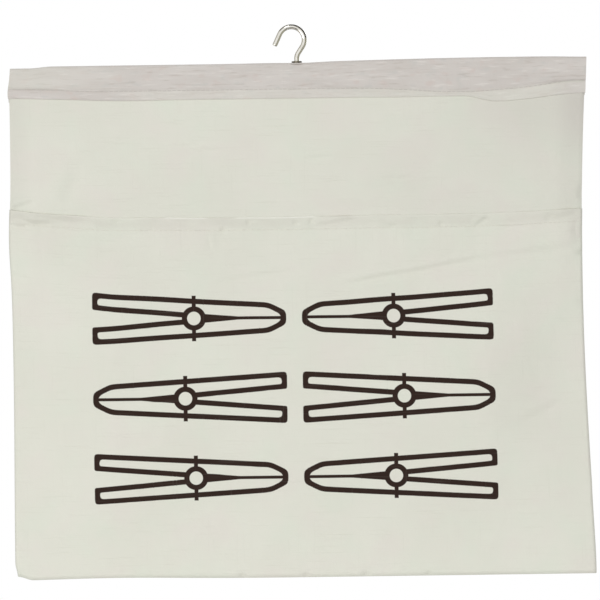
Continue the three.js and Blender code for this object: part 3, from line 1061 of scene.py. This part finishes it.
# Top casing: a strip of the linen folded over the bar. Both its edges are turned under, lapped over
# the front and the back and stitched just below the bar. Its ends are open, and the ferrule
# goes through a punched hole in its top.
casing_colour = (0.655, 0.617, 0.583, 1)
casing_shade = (0.585, 0.545, 0.505, 1)
casing_blush = (0.62, 0.54, 0.5, 1)
casing_grey = (0.57, 0.56, 0.53, 1)
casing_pale = (0.75, 0.715, 0.675, 1)
casing_dark = (0.51, 0.465, 0.42, 1)
over_bar = 4.5
bar_foot = 12.6
front_lap = 3.98
front_lap_inner = 3.47
rear_lap = 1.75
rear_lap_inner = 1.2
rear_stitch_down = 17.9
hole_radius = 2.75
hole_reach = 7.0
hole_spacing = 0.6
front_half = [
    (-front_lap_inner, 17.8),
    (-front_lap_inner, 19.8),
    (-front_lap_inner, lap_foot - 0.4),
    (-(front_lap + front_lap_inner) / 2, lap_foot - 0.08),
    (-front_lap, lap_foot - 0.4),
    (-front_lap, 20.0),
    (-front_lap - 0.05, 18.4),
    (-front_lap + 0.2, stitch_down),
    (-front_lap - 0.2, 15.3),
    (-over_bar, bar_foot),
    (-over_bar - 0.1, 9.0),
    (-over_bar, 3.0),
    (-over_bar + 0.6, 1.05),
    (-over_bar + 2.2, 0.4),
]
rear_half = [
    (over_bar - 2.2, 0.4),
    (over_bar - 0.6, 1.05),
    (over_bar, 3.0),
    (over_bar + 0.1, 9.0),
    (over_bar, 13.2),
    (over_bar - 0.9, 15.4),
    (rear_lap - 0.2, rear_stitch_down),
    (rear_lap, 19.4),
    (rear_lap, lap_foot - 0.4),
    ((rear_lap + rear_lap_inner) / 2, lap_foot - 0.08),
    (rear_lap_inner, lap_foot - 0.4),
    (rear_lap_inner, 20.4),
    (rear_lap_inner, 18.8),
]


def smooth_line(corners, parts):
    """A smooth line through the corners, each stretch in so many parts."""
    line = []
    for index in range(len(corners) - 1):
        before = Vector(corners[max(index - 1, 0)])
        first = Vector(corners[index])
        second = Vector(corners[index + 1])
        after = Vector(corners[min(index + 2, len(corners) - 1)])
        for part in range(parts):
            share = part / parts
            bend = first * 2 + (second - before) * share
            bend += (before * 2 - first * 5 + second * 4 - after) * share**2
            bend += (first * 3 - before - second * 3 + after) * share**3
            line.append(bend / 2)
    line.append(Vector(corners[-1]))
    return line


casing_line = smooth_line(front_half + rear_half, 4)
run = [0.0]
for index in range(1, len(casing_line)):
    run.append(run[-1] + (casing_line[index] - casing_line[index - 1]).length)
top_row = min(range(len(casing_line)), key=lambda index: abs(casing_line[index].x))


def casing_point(along, depth, down):
    """A point of the casing where its even section has this depth and height.

    In front, the cloth below the bar is drawn to the wandering row of sewing and to the lap's edge."""
    is_front = depth < 0
    lap_down = down
    if is_front and down > bar_foot:
        sewing = lap_sewing(along)
        to_sewing = min((down - bar_foot) / (stitch_down - bar_foot), 1)
        to_edge = max((down - stitch_down) / (lap_foot - stitch_down), 0)
        lap_down = bar_foot + (sewing - bar_foot) * to_sewing + (lap_edge(along) - sewing) * to_edge
    puff = 0.5 * noise.noise(Vector((along / 30, down / 9, 95)))
    puff += 0.35 * noise.noise(Vector((along / 9, down / 14, 98)))
    drawn_in = 0.3 + 0.6 * noise.noise(Vector((along / 25, 3, 99)))
    drawn_in += 0.3 * noise.noise(Vector((along / 6, 3, 99))) - 0.5 * hump(along, -118, 6)
    drawn_in *= 1 - 0.75 * (ease(-95, -75, along) - ease(120, 150, along))
    drawn_in += 0.6 * ease(145, 175, along)
    on_bar = (1 - ease(10, 16, down)) * ease(0.3, 4, down)
    out = max(puff, -0.1) * on_bar - max(drawn_in, 0) * hump(down, stitch_down, 1.3)
    return hung(along, depth + (-out if is_front else out), lap_down)


def spread_hole(along, depth):
    """Cloth near the ferrule is pushed aside from the middle, as far as the edge of the hole."""
    off = Vector((along, depth))
    if not 0 < off.length < hole_reach:
        return along, depth
    pushed = hole_radius + off.length * (hole_reach - hole_radius) / hole_reach
    return tuple(off.normalized() * pushed)


def wood_tint_and_painted_shade(start, along, down, weave, slubs):
    """The wood shows through as a darker, warmer and cloudy tone, and less below it in the laps. Painted
    shade darkens it towards the right, where the light falls off, and towards both ends of the laps. The
    casing also has blushed and grey spots, and pale and dark streaks along its threads."""
    from_top = abs(down)
    below_bar = from_top.ease(18.6, 21.4)
    # The laps are lighter than over the bar, with painted shade darkening them towards both ends.
    lap_tone_and_shade = 0.7 + (-along).ease(80, 150) * 0.4 - along.ease(10, 60) * 0.2
    lap_tone_and_shade = lap_tone_and_shade + along.ease(160, 178) * 0.35
    # Painted shade: the tone over the bar is lighter at the left end, where the light is stronger.
    on_bar = 0.66 + along.ease(-185, -90) * 0.34
    spread = start.node("ShaderNodeCombineXYZ", None, {0: along * 0.02, 1: down * 0.12})
    cloudy = spread.noise(1, 3)
    spots = start.node("ShaderNodeCombineXYZ", None, {0: along * 0.1, 1: down * 0.22}).noise(1, 2)
    laid = (cloudy.ease(0.3, 0.7) * 0.6 + slubs * 0.35).mix(casing_colour, casing_shade)
    laid = (spots.ease(0.55, 0.75) * 0.6).mix(laid, casing_blush)
    laid = ((1 - spots.ease(0.28, 0.45)) * 0.5).mix(laid, casing_grey)
    streaks = start.node("ShaderNodeCombineXYZ", None, {0: along * 0.07, 1: down * 0.7}).noise(1, 2)
    laid = (streaks.ease(0.58, 0.7) * 0.5).mix(laid, casing_pale)
    laid = ((1 - streaks.ease(0.3, 0.42)) * 0.5).mix(laid, casing_dark)
    mask = on_bar + (lap_tone_and_shade - on_bar) * below_bar + (cloudy - 0.5) * 0.3
    return mask.least(1), laid


casing_finish = linen("casing_linen", wood_tint_and_painted_shade)
near_hole = steps(-hole_reach, hole_reach, hole_spacing)
beside_hole = steps(hole_reach, half_width, 1.8)[1:]
columns = [-along for along in reversed(beside_hole)] + near_hole + beside_hole
middle_column = columns.index(min(columns, key=abs))
rows, flat_rows = [], []
for section, place in zip(casing_line, run):
    row, flat_row = [], []
    for along in columns:
        across, depth = along, section.x
        if section.y < 1:
            across, depth = spread_hole(along, section.x)
        row.append(casing_point(across, depth, section.y))
        flat_row.append((along, place - run[top_row]))
    rows.append(row)
    flat_rows.append(flat_row)
hole_middle = [(top_row, middle_column)]
casing_cloth = sew("casing_cloth", rows, flat_rows, cloth, casing_finish, hole_middle)
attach(casing_cloth, "bag")
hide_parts("top_casing")

# Casing stitching: two rows of the same machine stitches, one through the front lap and one
# through the rear lap, close below the bar, which close the casing round it. The thread is greyer.
casing_thread_colour = (0.6, 0.57, 0.53, 1)
casing_thread_dark_colour = (0.5, 0.47, 0.43, 1)
front_stitch_depth = -front_lap + 0.2
rear_stitch_depth = rear_lap - 0.2
casing_places = steps(-half_width + 4, half_width - 4, stitch_pitch)


def casing_front(along):
    return casing_point(along, front_stitch_depth, stitch_down)


def casing_rear(along):
    return casing_point(along, rear_stitch_depth, rear_stitch_down)


grey_finish = spun_thread("grey_thread", casing_thread_colour, casing_thread_dark_colour)
front_row = stitch_row("casing_front_stitches", casing_places, casing_front, to_front, grey_finish)
rear_row = stitch_row("casing_rear_stitches", casing_places, casing_rear, to_back, grey_finish)
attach(front_row, "bag")
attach(rear_row, "bag")

# Floor: a plain pale round of board below the hanging bag, which fades into the white surround
# at its edge and takes the bag's soft shadow.
floor_z = -0.5
floor_radius = 0.52
floor_sides = 96
floor_colour = (0.86, 0.86, 0.85, 1)
floor_finish, start = new_finish("pale_floor")
place = start.node("ShaderNodeTexCoord", output=3)
reach = start.node("ShaderNodeVectorMath", {"operation": "LENGTH"}, {0: place}, output=1)
pale = start.node("ShaderNodeBsdfDiffuse", None, {"Color": floor_colour})
clear = start.node("ShaderNodeBsdfTransparent")
faded = (reach / floor_radius).ease(0.45, 0.98)
seen = start.node("ShaderNodeMixShader", None, {0: faded, 1: pale, 2: clear})
start.node("ShaderNodeOutputMaterial", None, {"Surface": seen})
floor_mesh = bpy.data.meshes.new("floor")
floor_turns = [2 * pi * side / floor_sides for side in range(floor_sides)]
floor_edge = [(floor_radius * cos(turn), floor_radius * sin(turn), 0) for turn in floor_turns]
floor_mesh.from_pydata(floor_edge, [], [tuple(range(floor_sides))])
floor_board = show("floor", floor_mesh, floor_finish)
floor_board.location = (bag_middle * MM, 0, floor_z)

# Studio: a white surround, a large soft lamp low at the left in front, one far above, a weak one at
# the right and one behind. Five curved boards that only reflections show, dark ones above and below
# the hook and grey ones at its sides, give its bright wire dark and grey edges.
surround_level = 0.48
lamps = [
    ("key", (-1.3, -1.35, -0.5), 1.0, 12.2),
    ("top", (-0.3, -2.2, 2.6), 1.6, 32),
    ("fill", (1.3, -1.4, -0.4), 1.2, 6.5),
    ("back", (0.6, 1.7, 0.6), 1.2, 17),
]
board_radius = 0.8
board_back = 2.4
boards = [
    ("lower_board", -125, -55, -1.5, (0.06, 0.058, 0.05, 1)),
    ("right_board", -55, 10, -1.6, (0.36, 0.355, 0.285, 1)),
    ("upper_board", 10, 98, -1.0, (0.08, 0.078, 0.07, 1)),
    ("top_left_board", 98, 140, -0.6, (0.25, 0.245, 0.22, 1)),
    ("left_board", 140, 235, -0.3, (0.5, 0.49, 0.45, 1)),
]
world = bpy.data.worlds.new("white_surround")
bpy.context.scene.world = world
world.use_nodes = True
world.node_tree.nodes.clear()
start = Tone(world.node_tree)
rays = start.node("ShaderNodeLightPath")
ray_outputs = rays.socket.node.outputs
shown = Tone(start.tree, ray_outputs["Is Camera Ray"])
for kind in ("Is Glossy Ray", "Is Transmission Ray"):
    shown = shown.most(Tone(start.tree, ray_outputs[kind]))
level = surround_level + shown * (1 - surround_level)
light = start.node("ShaderNodeBackground", None, {"Color": (1, 1, 1, 1), "Strength": level})
start.node("ShaderNodeOutputWorld", None, {"Surface": light})
bag_centre = Vector((bag_middle, 0, casing_top - bag_height / 2)) * MM
for name, position, size, power in lamps:
    lamp = bpy.data.lights.new(name, "AREA")
    lamp.size = size
    lamp.energy = power
    lamp_stand = bpy.data.objects.new(name, lamp)
    lamp_stand.location = position
    lamp_stand.rotation_euler = (bag_centre - Vector(position)).to_track_quat("-Z", "Y").to_euler()
    lamp_stand.visible_camera = False
    bpy.context.scene.collection.objects.link(lamp_stand)
for name, first_turn, last_turn, front, colour in boards:
    board_finish, start = new_finish(name)
    dark = start.node("ShaderNodeEmission", None, {"Color": colour})
    start.node("ShaderNodeOutputMaterial", None, {"Surface": dark})
    board_points, board_faces = [], []
    for step, turn in enumerate(steps(radians(first_turn), radians(last_turn), radians(9))):
        across, height = board_radius * cos(turn), board_radius * sin(turn)
        board_points += [(across, front, height), (across, board_back, height)]
        if step:
            board_faces.append((2 * step - 2, 2 * step - 1, 2 * step + 1, 2 * step))
    board_mesh = bpy.data.meshes.new(name)
    board_mesh.from_pydata(board_points, [], board_faces)
    board = show(name, board_mesh, board_finish)
    board.visible_camera = False
    board.visible_diffuse = False
    board.visible_transmission = False
    board.visible_shadow = False
bpy.context.scene.view_settings.view_transform = "Standard"

# Camera: level and square on to the bag, as far off as a long lens needs, and tipped a little so
# that the bag hangs with its right side higher in the picture.
camera_distance = 2.2
sensor_width = 36
picture_width = 0.3832
camera_roll = radians(0.8)
aim = Vector((3.23, -12.0, -173.9)) * MM
camera_data = bpy.data.cameras.new("camera")
camera_data.sensor_width = sensor_width
camera_data.lens = sensor_width * camera_distance / picture_width
camera = bpy.data.objects.new("camera", camera_data)
camera.location = aim + Vector((0, -camera_distance, 0))
camera.rotation_euler = (pi / 2, camera_roll, 0)
bpy.context.scene.collection.objects.link(camera)
bpy.context.scene.camera = camera
